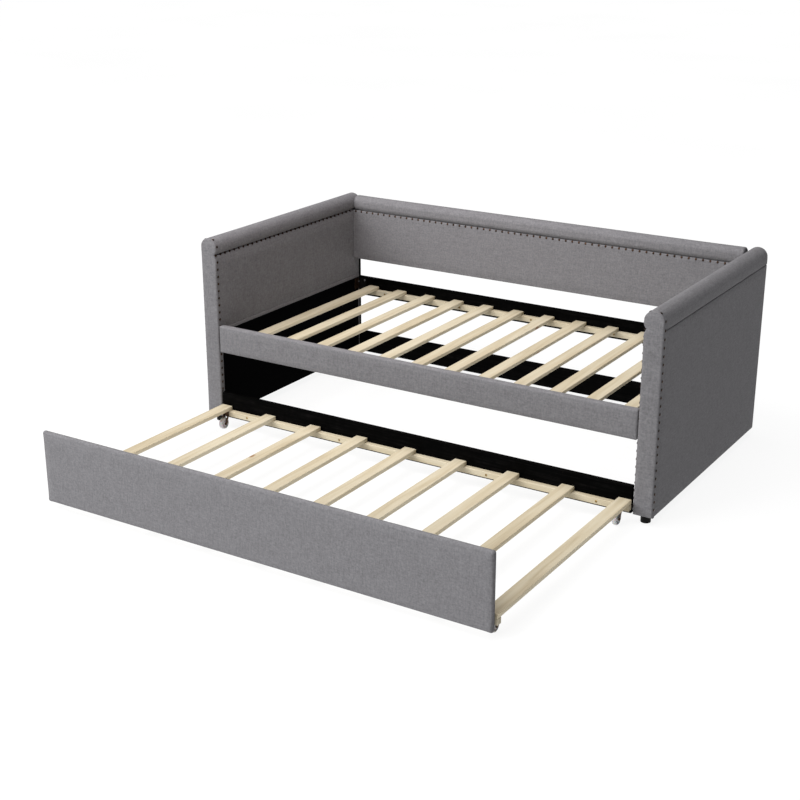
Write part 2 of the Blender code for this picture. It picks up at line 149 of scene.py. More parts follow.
# Softboxes: name, place, the point it is aimed at, size, power, colour
SOFTBOXES = (
    ("front", (-3.6, -7.0, 3.4), (0.0, 0.0, 0.4), (4.0, 3.0), 560, (1.0, 1.0, 1.0)),
    ("overhead", (-0.35, -0.1, 2.6), (-0.95, 0.35, 0.6), (1.0, 1.0), 32, (1.0, 0.92, 0.91)),
)
TOP_DIRECTION = (-0.2, -0.3, 1.0)
TOP_ANGLE = 60
TOP_POWER = 3.2

# ---------------------------------------------------------------- places read from the frame
SIDES = (("left", -1), ("right", 1))
ARM_LOW, ARM_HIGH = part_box("right_arm_cover")
FRONT = ARM_LOW.y
BACK = ARM_HIGH.y
INNER = ARM_LOW.x
OUTER = ARM_HIGH.x
ARM_BOTTOM = ARM_LOW.z
CREASE = ARM_HIGH.z
ROLL_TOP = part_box("right_arm_roll")[1].z
LINER_LOW, LINER_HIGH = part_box("right_arm_liner")
BACK_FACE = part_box("back_cover")[0].y
SLAB_WIDTH = OUTER - INNER
ROLL_HEIGHT = ROLL_TOP - CREASE
ROLL_FLOOR = CREASE + SEAM_NOTCH + 0.001  # the rolls are held below this


# ---------------------------------------------------------------- material helpers
class Nodes:
    """A material and short ways to add nodes to it."""

    def __init__(self, name):
        self.material = bpy.data.materials.new(name)
        self.material.use_nodes = True
        self.tree = self.material.node_tree
        self.shader = self.tree.nodes["Principled BSDF"]
        self.place = self.add("ShaderNodeTexCoord").outputs["Object"]

    def add(self, kind, **values):
        """A node with its input sockets set: links for sockets, numbers for values."""
        made = self.tree.nodes.new(kind)
        for key, value in values.items():
            socket = made.inputs[key.replace("_", " ")]
            if isinstance(value, bpy.types.NodeSocket):
                self.tree.links.new(value, socket)
            else:
                socket.default_value = value
        return made

    def scaled(self, vector, scale):
        made = self.add("ShaderNodeMapping", Vector=vector)
        made.inputs["Scale"].default_value = scale
        return made.outputs["Vector"]

    def noise(self, vector, scale, detail=2.0, rough=0.5):
        made = self.add("ShaderNodeTexNoise", Vector=vector, Scale=scale, Detail=detail)
        made.inputs["Roughness"].default_value = rough
        return made.outputs["Fac"]

    def bands(self, vector, direction, scale, distortion):
        made = self.add("ShaderNodeTexWave", Vector=vector, Scale=scale, Distortion=distortion)
        made.bands_direction = direction
        made.inputs["Detail"].default_value = 1.0
        made.inputs["Detail Scale"].default_value = 2.0
        return made.outputs["Fac"]

    def math(self, operation, first, second):
        made = self.tree.nodes.new("ShaderNodeMath")
        made.operation = operation
        for socket, value in zip(made.inputs, (first, second)):
            if isinstance(value, bpy.types.NodeSocket):
                self.tree.links.new(value, socket)
            else:
                socket.default_value = value
        return made.outputs["Value"]

    def fit(self, value, low, high, new_low, new_high):
        made = self.add("ShaderNodeMapRange", Value=value)
        made.inputs["From Min"].default_value = low
        made.inputs["From Max"].default_value = high
        made.inputs["To Min"].default_value = new_low
        made.inputs["To Max"].default_value = new_high
        return made.outputs["Result"]

    def ramp(self, value, *stops):
        """Colours along a value; each stop is (position, colour)."""
        made = self.add("ShaderNodeValToRGB", Fac=value)
        elements = made.color_ramp.elements
        while len(elements) < len(stops):
            elements.new(1.0)
        for element, (position, colour) in zip(elements, stops):
            element.position = position
            element.color = (*colour, 1.0)
        return made.outputs["Color"]

    def tint(self, colour, factor):
        """A colour multiplied by a grey factor."""
        made = self.tree.nodes.new("ShaderNodeVectorMath")
        made.operation = "SCALE"
        self.tree.links.new(colour, made.inputs[0])
        self.tree.links.new(factor, made.inputs["Scale"])
        return made.outputs["Vector"]

    def bump(self, height, distance, strength=1.0):
        made = self.add("ShaderNodeBump", Height=height, Distance=distance, Strength=strength)
        self.tree.links.new(made.outputs["Normal"], self.shader.inputs["Normal"])

    def surface(self, colour=None, roughness=None, **fixed):
        for key, value in (("Base Color", colour), ("Roughness", roughness)):
            socket = self.shader.inputs[key]
            if isinstance(value, bpy.types.NodeSocket):
                self.tree.links.new(value, socket)
            elif value is not None:
                socket.default_value = value
        for key, value in fixed.items():
            self.shader.inputs[key.replace("_", " ")].default_value = value


# ---------------------------------------------------------------- materials
def linen():
    """Mid grey linen: a plain weave of uneven threads, slubs both ways and a soft mottle."""
    n = Nodes("grey_linen_weave")
    threads = [n.bands(n.place, axis, 150.0, 1.6) for axis in "XYZ"]
    weave = n.math("ADD", n.math("ADD", threads[0], threads[1]), threads[2])
    weave = n.fit(weave, 0.3, 2.7, 0.0, 1.0)
    along = n.noise(n.scaled(n.place, (25, 25, 240)), 1.0)
    across = n.noise(n.scaled(n.place, (240, 240, 25)), 1.0)
    slubs = n.math("ADD", along, across)
    fleck = n.noise(n.place, 150.0, 2.0, 0.6)
    mottle = n.noise(n.place, 14.0, 3.0)
    shade = n.math("ADD", n.fit(slubs, 0.7, 1.3, -0.10, 0.10), n.fit(weave, 0.0, 1.0, -0.06, 0.06))
    shade = n.math("ADD", shade, n.fit(fleck, 0.3, 0.7, 0.86, 1.14))
    shade = n.math("ADD", shade, n.fit(mottle, 0.3, 0.7, -0.025, 0.025))
    yarn = n.ramp(n.noise(n.place, 90.0), (0.35, (0.144, 0.141, 0.148)), (0.65, (0.160, 0.157, 0.165)))
    n.surface(n.tint(yarn, shade), n.fit(fleck, 0.3, 0.7, 0.82, 0.95))
    n.surface(Sheen_Weight=0.06, Sheen_Roughness=0.45, Specular_IOR_Level=0.10)
    n.bump(n.math("ADD", weave, n.fit(slubs, 0.7, 1.3, 0.0, 0.8)), 0.0004, 0.6)
    return n.material


def non_woven():
    """Black spun lining: thin matt fibre with faint pressed dimples."""
    n = Nodes("black_non_woven")
    fibre = n.noise(n.place, 900.0, 3.0, 0.7)
    dimple = n.add("ShaderNodeTexVoronoi", Vector=n.place, Scale=320.0).outputs["Distance"]
    colour = n.ramp(fibre, (0.3, (0.0004, 0.0004, 0.0005)), (0.7, (0.0014, 0.0014, 0.0016)))
    n.surface(colour, n.fit(fibre, 0.3, 0.7, 0.75, 0.95), Specular_IOR_Level=0.01)
    n.bump(n.math("ADD", dimple, fibre), 0.0003, 0.5)
    return n.material


def black_paint():
    """Black foil on board: satin, with faint lengthwise drag marks and dust along it, and lighter
    lengthwise streaks in its colour as painted highlight.
    """
    n = Nodes("black_foil")
    drag_and_highlight = n.noise(n.scaled(n.place, (6, 260, 260)), 1.0, 4.0, 0.6)
    dust = n.noise(n.place, 35.0, 4.0, 0.6)
    # painted highlight: lengthwise streaks, thinned by dust, lighten the colour
    highlight_and_dust = n.math("MULTIPLY", n.fit(drag_and_highlight, 0.45, 0.75, 0.0, 1.0), n.fit(dust, 0.4, 0.7, 0.2, 1.0))
    colour = n.ramp(highlight_and_dust, (0.0, (0.0006, 0.0006, 0.0006)), (1.0, (0.0070, 0.0062, 0.0062)))
    n.surface(colour, n.fit(dust, 0.3, 0.7, 0.40, 0.58), Specular_IOR_Level=0.015)
    n.bump(drag_and_highlight, 0.0002, 0.4)
    return n.material


def pine(name, grain, painted_side_gain):
    """Pine with its grain along an axis, growth lines, flecks and small knots, and its sides brightened as
    painted light.
    """
    n = Nodes(name)
    seed = n.add("ShaderNodeObjectInfo").outputs["Random"]
    shift = n.add("ShaderNodeCombineXYZ", X=n.math("MULTIPLY", seed, 7.0), Y=n.math("MULTIPLY", seed, 5.0))
    shift.inputs["Z"].default_value = 0.0
    moved = n.tree.nodes.new("ShaderNodeVectorMath")
    n.tree.links.new(n.place, moved.inputs[0])
    n.tree.links.new(shift.outputs["Vector"], moved.inputs[1])
    place = moved.outputs["Vector"]
    fine = [180.0] * 3
    broad = [16.0] * 3
    fine[grain] = 5.0
    broad[grain] = 1.1
    fibre = n.noise(n.scaled(place, fine), 1.0, 4.0, 0.65)
    board = n.noise(n.scaled(place, broad), 1.0, 2.0)
    rings = n.math("PINGPONG", n.math("MULTIPLY", board, 9.0), 1.0)
    knot_scale = [13.0] * 3
    knot_scale[grain] = 4.5
    knots = n.add("ShaderNodeTexVoronoi", Vector=n.scaled(place, knot_scale), Scale=0.8).outputs["Distance"]
    knot = n.fit(knots, 0.03, 0.09, 0.0, 1.0)
    tone = n.math("ADD", n.fit(fibre, 0.25, 0.75, -0.16, 0.16), n.fit(rings, 0.0, 1.0, 0.30, 0.66))
    tone = n.math("ADD", tone, n.fit(seed, 0.0, 1.0, -0.07, 0.07))
    wood = n.ramp(
        tone,
        (0.05, (0.35, 0.290, 0.190)),
        (0.40, (0.45, 0.390, 0.275)),
        (0.95, (0.53, 0.485, 0.375)),
    )
    mixed = n.tree.nodes.new("ShaderNodeMix")
    mixed.data_type = "RGBA"
    n.tree.links.new(knot, mixed.inputs["Factor"])
    mixed.inputs[6].default_value = (0.24, 0.125, 0.055, 1.0)
    n.tree.links.new(wood, mixed.inputs[7])
    facing = n.add("ShaderNodeSeparateXYZ", Vector=n.add("ShaderNodeTexCoord").outputs["Normal"])
    # painted light: faces across the grain get their colour raised by the gain
    painted_side_light = n.fit(n.math("ABSOLUTE", facing.outputs["XYZ"[1 - grain]], 0.0), 0.4, 0.9, 1.0, painted_side_gain)
    n.surface(n.tint(mixed.outputs[2], painted_side_light), n.fit(fibre, 0.3, 0.7, 0.52, 0.70), Specular_IOR_Level=0.3)
    n.bump(fibre, 0.0003, 0.5)
    return n.material


def aged_metal(name, dark, bright, roughness, dents):
    """A cast or plated metal with darker patina in patches and a lightly uneven skin."""
    n = Nodes(name)
    patina = n.noise(n.place, 160.0, 4.0, 0.6)
    skin = n.noise(n.place, 420.0, 3.0)
    n.surface(n.ramp(patina, (0.35, dark), (0.68, bright)), n.fit(skin, 0.3, 0.7, *roughness))
    n.surface(Metallic=0.9)
    n.bump(skin, dents, 0.5)
    return n.material


def moulded(name, dark, light, roughness, **fixed):
    """Moulded plastic with a fine spark-eroded skin."""
    n = Nodes(name)
    skin = n.noise(n.place, 700.0, 3.0)
    cloud = n.noise(n.place, 60.0, 2.0)
    n.surface(n.ramp(cloud, (0.35, dark), (0.65, light)), n.fit(skin, 0.3, 0.7, *roughness), **fixed)
    n.bump(skin, 0.0001, 0.5)
    return n.material


def chipboard():
    n = Nodes("core_chipboard")
    chips = n.add("ShaderNodeTexVoronoi", Vector=n.scaled(n.place, (160, 160, 420)), Scale=1.0)
    tone = n.add("ShaderNodeSeparateColor", Color=chips.outputs["Color"]).outputs["Red"]
    n.surface(n.ramp(tone, (0.1, (0.30, 0.20, 0.11)), (0.9, (0.55, 0.42, 0.26))), 0.85)
    n.bump(chips.outputs["Distance"], 0.0004, 0.5)
    return n.material


def studio_floor():
    """A white acrylic sweep, lit softly from within as well as from above."""
    n = Nodes("pale_floor")
    cloud = n.noise(n.place, 0.6, 3.0)
    colour = n.ramp(cloud, (0.3, (0.09, 0.09, 0.09)), (0.7, (0.11, 0.11, 0.11)))
    n.surface(colour, 0.9, Specular_IOR_Level=0.1)
    n.surface(Emission_Color=(1.0, 1.0, 1.0, 1.0), Emission_Strength=FLOOR_GLOW)
    return n.material


LINEN = linen()
NON_WOVEN = non_woven()
BLACK_FOIL = black_paint()
PINE_DEPTH = pine("pine_grain_in_depth", 1, SIDE_PAINTED_LIGHT)
PINE_LENGTH = pine("pine_grain_in_length", 0, 1.0)
BRONZE = aged_metal("bronze_steel", (0.030, 0.016, 0.009), (0.090, 0.050, 0.026), (0.32, 0.50), 0.0001)
NAIL_BRONZE = aged_metal("nail_bronze", (0.012, 0.008, 0.006), (0.060, 0.032, 0.020), (0.30, 0.45), 0.0003)
SCREW_BRASS = aged_metal("screw_brass", (0.14, 0.085, 0.030), (0.36, 0.245, 0.095), (0.32, 0.48), 0.0001)
BOLT_STEEL = aged_metal("bolt_steel", (0.10, 0.10, 0.11), (0.26, 0.26, 0.27), (0.30, 0.45), 0.0001)
NYLON = moulded(
    "white_nylon",
    (0.40, 0.385, 0.39),
    (0.48, 0.465, 0.47),
    (0.25, 0.38),
    Subsurface_Weight=0.25,
    Subsurface_Scale=0.004,
)
FOOT_PLASTIC = moulded(
    "foot_plastic", (0.003, 0.003, 0.003), (0.006, 0.006, 0.006), (0.38, 0.55), Specular_IOR_Level=0.1
)
CHIPBOARD = chipboard()

# CAD nodes that stay, by the start of their names, with the material that each gets
FINISHES = (
    (("slat_", "trundle_slat_"), PINE_DEPTH),
    (("front_cleat", "back_cleat", "trundle_front_cleat", "trundle_back_cleat"), PINE_LENGTH),
    (("back_rail", "lower_back_rail", "front_rail_board"), BLACK_FOIL),
    (("trundle_front_board", "trundle_back_board"), BLACK_FOIL),
    (("left_arm_liner", "right_arm_liner"), NON_WOVEN),
    (("left_arm_core", "right_arm_core", "back_core"), CHIPBOARD),
    (("foot_",), FOOT_PLASTIC),
    (("caster_fork_",), BRONZE),
    (("bracket_",), FOOT_PLASTIC),
)


def finish_cad_nodes():
    for name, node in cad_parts.items():
        for starts, material in FINISHES:
            if name.startswith(starts):
                node.data.materials.clear()
                node.data.materials.append(material)
    for name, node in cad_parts.items():
        if name.startswith(("bracket_", "caster_fork_", "foot_")):
            soften = node.modifiers.new("soft_edges", "BEVEL")
            soften.width = SOFTEN_WIDTH
            soften.segments = 2
            soften.limit_method = "ANGLE"
            soften.angle_limit = math.radians(SOFTEN_ANGLE)


# ---------------------------------------------------------------- mesh helpers
def add_piece(name, vertices, faces, material, body, slot, smooth=True):
    """A new mesh object that rides on a body."""
    mesh = bpy.data.meshes.new(name)
    mesh.from_pydata([tuple(v) for v in vertices], [], faces)
    work = bmesh.new()
    work.from_mesh(mesh)
    bmesh.ops.remove_doubles(work, verts=work.verts, dist=1e-6)
    bmesh.ops.dissolve_degenerate(work, edges=work.edges, dist=1e-7)
    bmesh.ops.recalc_face_normals(work, faces=work.faces)
    work.to_mesh(mesh)
    work.free()
    for face in mesh.polygons:
        face.use_smooth = smooth
    mesh.materials.append(material)
    piece = bpy.data.objects.new(name, mesh)
    bpy.context.scene.collection.objects.link(piece)
    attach(piece, body)
    return piece


def mesh_lines(low, high, rounding, step):
    """Positions of mesh lines along one side of a box: close together in its rounded ends."""
    ends = [rounding * (1 - math.tan(math.radians(angle))) for angle in (45, 30, 15, 0)]
    middle_low = low + rounding
    middle_high = high - rounding
    count = max(1, round((middle_high - middle_low) / step))
    middle = [middle_low + (middle_high - middle_low) * k / count for k in range(1, count)]
    return [low + e for e in ends] + middle + [high - e for e in reversed(ends)]


def round_over(point, low, high, rounding, power):
    """A point on a box's surface, moved onto the box with rounded edges. A higher power is sharper."""
    inside = [min(max(p, lo + rounding), hi - rounding) for p, lo, hi in zip(point, low, high)]
    away = [p - q for p, q in zip(point, inside)]
    reach = sum(abs(a) ** power for a in away) ** (1 / power)
    return [q + a * rounding / reach for q, a in zip(inside, away)]


def pad_mesh(low, high, rounding, step, power=lambda point: 2):
    """Vertices and faces of a box with rounded edges, its mesh lines a step apart."""
    lines = [mesh_lines(lo, hi, rounding, step) for lo, hi in zip(low, high)]
    last = [len(line) - 1 for line in lines]
    numbers = {}
    vertices = []
    faces = []

    def number(index):
        if index not in numbers:
            point = [line[k] for line, k in zip(lines, index)]
            numbers[index] = len(vertices)
            vertices.append(round_over(point, low, high, rounding, power(point)))
        return numbers[index]

    for axis in range(3):
        across, up = [a for a in range(3) if a != axis]
        for end in (0, last[axis]):
            for i in range(last[across]):
                for j in range(last[up]):
                    corners = []
                    for di, dj in ((0, 0), (1, 0), (1, 1), (0, 1)):
                        index = [0, 0, 0]
                        index[axis] = end
                        index[across] = i + di
                        index[up] = j + dj
                        corners.append(number(tuple(index)))
                    faces.append(corners)
    return vertices, faces


def loft_mesh(section, stations, centre, place):
    """Vertices and faces of a section pulled along. Each station is (distance, scale about the centre)."""
    vertices = []
    faces = []
    count = len(section)
    for distance, scale in stations:
        for point in section:
            vertices.append(place(centre + (point - centre) * scale, distance))
    for ring in range(len(stations) - 1):
        for k in range(count):
            a = ring * count + k
            b = ring * count + (k + 1) % count
            faces.append([a, b, b + count, a + count])
    for ring in (0, len(stations) - 1):
        vertices.append(place(centre, stations[ring][0]))
        middle = len(vertices) - 1
        for k in range(count):
            faces.append([ring * count + k, ring * count + (k + 1) % count, middle])
    return vertices, faces


def lathe_mesh(profile, segments):
    """Vertices and faces of a (radius, height) profile turned round +Z; its two ends lie on the axis."""
    vertices = []
    faces = []
    for radius, height in profile:
        for k in range(segments):
            angle = 2 * math.pi * k / segments
            vertices.append(Vector((radius * math.cos(angle), radius * math.sin(angle), height)))
    for ring in range(len(profile) - 1):
        for k in range(segments):
            a = ring * segments + k
            b = ring * segments + (k + 1) % segments
            faces.append([a, b, b + segments, a + segments])
    return vertices, faces


def facing_out(point, normal):
    """A frame at a point whose +Z is the outward normal."""
    turn = Vector(normal).to_track_quat("Z", "Y").to_matrix().to_4x4()
    return Matrix.Translation(Vector(point)) @ turn


def copies(name, shape, frames, material, body, slot):
    """One piece made of a shape repeated at each frame."""
    vertices = []
    faces = []
    for placed in frames:
        start = len(vertices)
        vertices += [placed @ Vector(v) for v in shape[0]]
        faces += [[start + k for k in face] for face in shape[1]]
    return add_piece(name, vertices, faces, material, body, slot)


def cut(piece, low, high):
    """Takes a box out of a piece's mesh."""
    vertices, faces = pad_mesh(low, high, 0.0005, 1.0)
    mesh = bpy.data.meshes.new("cutter")
    mesh.from_pydata(vertices, [], faces)
    work = bmesh.new()
    work.from_mesh(mesh)
    bmesh.ops.recalc_face_normals(work, faces=work.faces)
    work.to_mesh(mesh)
    work.free()
    tool = bpy.data.objects.new("cutter", mesh)
    bpy.context.scene.collection.objects.link(tool)
    boolean = piece.modifiers.new("cut", "BOOLEAN")
    boolean.operation = "DIFFERENCE"
    boolean.solver = "EXACT"
    boolean.object = tool
    apply_modifiers(piece)
    bpy.data.objects.remove(tool)
    bpy.data.meshes.remove(mesh)


def apply_modifiers(piece):
    graph = bpy.context.evaluated_depsgraph_get()
    made = bpy.data.meshes.new_from_object(piece.evaluated_get(graph), depsgraph=graph)
    made.name = piece.data.name + "_made"
    piece.modifiers.clear()
    piece.data = made


# ---------------------------------------------------------------- soft goods
PUFFS = []  # (piece, which vertices are held, most that a vertex may move)


def soft(piece, nodes, held, puff):
    """Declares a pad, the CAD nodes it stands for, and how it puffs."""
    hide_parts(*nodes)
    PUFFS.append((piece, held, puff))
    return piece


def positions(mesh):
    flat = np.empty(len(mesh.vertices) * 3, np.float32)
    mesh.vertices.foreach_get("co", flat)
    return flat.reshape(-1, 3)


def puff_all():
    """Cloth simulation of every pad at once: air pressure swells the fabric between what holds it."""
    rest = {}
    for piece, held, puff in PUFFS:
        rest[piece.name] = positions(piece.data)
        group = piece.vertex_groups.new(name="held")
        group.add([v.index for v in piece.data.vertices if held(v.co)], 1.0, "REPLACE")
        cloth = piece.modifiers.new("puff", "CLOTH")
        settings = cloth.settings
        settings.quality = 4
        settings.mass = 0.3
        settings.tension_stiffness = 12
        settings.compression_stiffness = 12
        settings.bending_stiffness = 2
        settings.effector_weights.gravity = 0
        settings.use_pressure = True
        settings.uniform_pressure_force = PUFF_PRESSURE
        settings.vertex_group_mass = "held"
        cloth.collision_settings.use_collision = False
        cloth.point_cache.frame_start = 1
        cloth.point_cache.frame_end = PUFF_FRAMES
    for number in range(1, PUFF_FRAMES + 1):
        bpy.context.scene.frame_set(number)
    graph = bpy.context.evaluated_depsgraph_get()
    for piece, held, puff in PUFFS:
        swollen = positions(piece.evaluated_get(graph).data)
        move = swollen - rest[piece.name]
        length = np.linalg.norm(move, axis=1, keepdims=True) + 1e-12
        capped = rest[piece.name] + move / length * puff * np.tanh(length / puff)
        piece.modifiers.clear()
        piece.vertex_groups.clear()
        piece.data.vertices.foreach_set("co", capped.astype(np.float32).ravel())
        piece.data.update()
    bpy.context.scene.frame_set(1)


def subdivide_pads():
    for piece, held, puff in PUFFS:
        finer = piece.modifiers.new("finer", "SUBSURF")
        finer.levels = 1
        finer.render_levels = 1
        apply_modifiers(piece)


# ---------------------------------------------------------------- padded arms
def roll_radius(width):
    return min(ROLL_ROUNDING, width / 2 - 0.0005)


def roll_outer(rise, width, height):
    """How far a roll's outer side stands in from the slab's face, at a rise above the crease."""
    radius = roll_radius(width)
    over = min(radius, max(0.0, rise - (height - radius)))
    return radius - math.sqrt(max(0.0, radius**2 - over**2))


def roll_inner(rise, width, height):
    """The same on its inner side, where it bulges over the crease."""
    under = max(0.0, 1 - rise / CREASE_RISE)
    return roll_outer(rise, width, height) + (CREASE_DEPTH + ROLL_BULGE) * under**2.2 - ROLL_BULGE


def roll_rises(width, height):
    """Rises at which a roll's sides are drawn, close together where they curve."""
    radius = roll_radius(width)
    under = [CREASE_RISE * share for share in (0.0, 0.12, 0.26, 0.42, 0.60, 0.80, 1.0)]
    corner = [height - radius * (1 - math.sin(math.radians(angle))) for angle in range(10, 91, 8)]
    return [rise for rise in under if rise < corner[0] - 0.002] + corner


def roll_section(width, top):
    """Outline of a roll's section as (outward, up) points from its inner face, going over the top."""
    height = top - CREASE
    low = CREASE + SEAM_NOTCH / 2
    rises = roll_rises(width, height)
    inner = [Vector((roll_inner(r, width, height), max(low, CREASE + r))) for r in rises]
    outer = [Vector((width - roll_outer(r, width, height), CREASE + r)) for r in reversed(rises[2:])]
    outer += [Vector((width, low + SEAM_NOTCH / 2)), Vector((width - SEAM_NOTCH, low))]
    floor = [Vector((width * share, low)) for share in (0.75, 0.5, 0.3)]
    return inner + outer + floor, Vector((width / 2, (CREASE + top) / 2))


def roll_stations(start, end, radius, rounded):
    """Ring places along a roll, with the chosen ends drawn in to a rounded tip."""
    arc = [math.radians(angle) for angle in (0, 18, 36, 54, 72, 90)]
    tip = [(ROLL_TIP * (1 - math.sin(a)), 1 - ROLL_TIP * (1 - math.cos(a)) / radius) for a in arc]
    tip = [(0.0, 0.35)] + list(reversed(tip))
    count = round((end - start) / ROLL_STEP)
    length = end - start
    stations = [(start + length * k / count, 1.0) for k in range(1, count)]
    first = [(start + d, s) for d, s in tip] if rounded[0] else [(start, 0.5), (start, 1.0)]
    last = [(end - d, s) for d, s in reversed(tip)] if rounded[1] else [(end, 1.0), (end, 0.5)]
    clear = [s for s in stations if first[-1][0] + ROLL_STEP_CLEAR < s[0] < last[0][0] - ROLL_STEP_CLEAR]
    return first + clear + last


def arm_roll(label, side):
    section, centre = roll_section(SLAB_WIDTH, ROLL_TOP)
    start = FRONT + FACING_DEPTH - OVERLAP
    stations = roll_stations(start, BACK, SLAB_WIDTH / 2, (False, True))
    shape = loft_mesh(section, stations, centre, lambda p, d: Vector((side * (INNER + p.x), d, p.y)))
    piece = add_piece(label + "_arm_roll_pad", *shape, LINEN, "daybed", "upholstery")
    hidden = start + JOIN_HELD

    def held(p):
        return p.z < ROLL_FLOOR or p.y < hidden or p.y > BACK - TIP_HELD

    return soft(piece, [label + "_arm_roll"], held, ROLL_PUFF)


def arm_pad(label, side):
    """The slab under the roll. Only its top inner edge is well rounded, where it turns into the crease."""
    near, far = sorted((side * (INNER + SHRINK), side * (OUTER - SHRINK)))
    low = (near, FRONT + FACING_DEPTH - OVERLAP, ARM_BOTTOM)
    high = (far, BACK, CREASE - TOP_SETBACK)

    def power(point):
        inner_top = point[2] > CREASE - 2 * SLAB_ROUNDING and side * point[0] < INNER + 2 * SLAB_ROUNDING
        return 2 if inner_top else 7

    shape = pad_mesh(low, high, SLAB_ROUNDING, PAD_STEP, power)
    piece = add_piece(label + "_arm_pad", *shape, LINEN, "daybed", "upholstery")
    hem_top = LINER_HIGH.z + HEM_HEIGHT

    def held(p):
        edge = p.y < low[1] + JOIN_HELD or p.y > BACK - TAPE_WIDTH or p.z > CREASE - CREASE_HELD
        hem = side * p.x < INNER + HEM_HELD and p.z < hem_top
        return edge or hem or p.z < ARM_BOTTOM + PAD_ROUNDING

    return soft(piece, [label + "_arm_cover"], held, PANEL_PUFF)


def facing_outline(height):
    """How far an arm facing's inner and outer edges stand in from the slab's faces at a height."""
    if height > CREASE:
        rise = height - CREASE
        return roll_inner(rise, SLAB_WIDTH, ROLL_HEIGHT), roll_outer(rise, SLAB_WIDTH, ROLL_HEIGHT)
    fall = max(0.0, 1 - (CREASE - height) / CREASE_FALL)
    return CREASE_DEPTH * fall**1.6, 0.0


def facing_heights():
    """Mesh rows up a facing, close together at its bottom edge, in the crease and over the roll."""
    arc = [math.radians(angle) for angle in (90, 66, 44, 22, 0)]
    bottom = [ARM_BOTTOM + FACING_ROUNDING * (1 - math.sin(a)) for a in arc]
    slab_top = CREASE - CREASE_FALL
    count = round((slab_top - bottom[-1]) / PAD_STEP)
    slab = [bottom[-1] + (slab_top - bottom[-1]) * k / count for k in range(1, count + 1)]
    corner = [slab_top + CREASE_FALL * share for share in (0.25, 0.5, 0.7, 0.85, 0.95, 1.0)]
    over = [CREASE + 0.0005] + [CREASE + rise for rise in roll_rises(SLAB_WIDTH, ROLL_HEIGHT)[1:]]
    return bottom + slab + corner + over


def distance_to_outline(points, outline):
    """Least distance from each (x, z) point to a closed outline."""
    along = np.roll(outline, -1, axis=0) - outline
    length = np.maximum((along**2).sum(1), 1e-12)
    best = np.full(len(points), 1.0)
    for start, step, size in zip(outline, along, length):
        t = np.clip(((points - start) @ step) / size, 0, 1)
        best = np.minimum(best, np.linalg.norm(points - (start + t[:, None] * step), axis=1))
    return best


def arm_facing(label, side):
    """The arm's padded front: slab and roll in one outline, its edge rounded back to the nails."""
    arc = [math.radians(angle) for angle in (90, 66, 44, 22, 0)]
    edge = [FACING_ROUNDING * (1 - math.sin(a)) / SLAB_WIDTH for a in arc]
    middle = [edge[-1] + (1 - 2 * edge[-1]) * k / FACING_COLUMNS for k in range(1, FACING_COLUMNS)]
    shares = edge + middle + [1 - e for e in reversed(edge)]
    rows = []
    for height in facing_heights():
        inner, outer = facing_outline(height)
        left = INNER + inner
        right = OUTER - outer
        rows.append([(side * (left + (right - left) * s), height) for s in shares])
    grid = np.array(rows)
    row_count, column_count = grid.shape[:2]
    outline = np.vstack([grid[:, 0], grid[::-1, -1]])
    depth = distance_to_outline(grid.reshape(-1, 2), outline).reshape(row_count, column_count)
    short = FACING_ROUNDING - np.minimum(depth, FACING_ROUNDING)
    front = FRONT + FACING_ROUNDING - np.sqrt(FACING_ROUNDING**2 - short**2)
    back_y = FRONT + FACING_DEPTH
    vertices = []
    for y in (front, np.full_like(front, back_y)):
        for row in range(row_count):
            for column in range(column_count):
                x, z = grid[row, column]
                vertices.append((x, y[row, column], z))
    layer = row_count * column_count

    def at(row, column, back=0):
        return back * layer + row * column_count + column

    faces = []
    for row in range(row_count - 1):
        for column in range(column_count - 1):
            for back in (0, 1):
                quad = [(row, column), (row, column + 1), (row + 1, column + 1), (row + 1, column)]
                faces.append([at(r, c, back) for r, c in quad])
    rim = [(0, c) for c in range(column_count)]
    rim += [(r, column_count - 1) for r in range(1, row_count)]
    rim += [(r, 0) for r in range(row_count - 2, -1, -1)]
    for first, second in zip(rim, rim[1:]):
        faces.append([at(*first), at(*second), at(*second, 1), at(*first, 1)])
    piece = add_piece(label + "_arm_facing", vertices, faces, LINEN, "daybed", "upholstery")
    return soft(piece, [label + "_arm_cover"], lambda p: p.y > FRONT + FACING_HELD, FACING_PUFF)


def arm_trims(label, side):
    """The folded hem above the lining, the black tape down the rear edge and the cloth underneath."""
    wall = side * INNER

    def trim(name, near, far, y_range, z_range, material, slot):
        x_range = sorted((wall + side * near, wall + side * far))
        low, high = zip(x_range, y_range, z_range)
        thinnest = min(b - a for a, b in zip(low, high))
        shape = pad_mesh(low, high, thinnest * 0.45, THIN_STEP)
        return add_piece(f"{label}_arm_{name}", *shape, material, "daybed", slot)

    hem_y = (FRONT + FACING_DEPTH + 0.0005, BACK - TAPE_WIDTH)
    hem_z = (LINER_HIGH.z + 0.0005, LINER_HIGH.z + HEM_HEIGHT)
    trim("hem", -HEM_THICKNESS, SHRINK + 0.001, hem_y, hem_z, LINEN, "upholstery")
    tape_y = (BACK - TAPE_WIDTH, BACK - 0.0015)
    tape_z = (ARM_BOTTOM + 0.001, CREASE - 0.012)
    trim("rear_tape", -TAPE_THICKNESS, SHRINK + 0.002, tape_y, tape_z, NON_WOVEN, "lining")
    under_y = (FRONT + 0.012, BACK - 0.006)
    under_z = (ARM_BOTTOM - UNDERLINING_DROP, ARM_BOTTOM + UNDERLINING_RISE)
    trim("underlining", 0.006, SLAB_WIDTH - 0.008, under_y, under_z, NON_WOVEN, "lining")


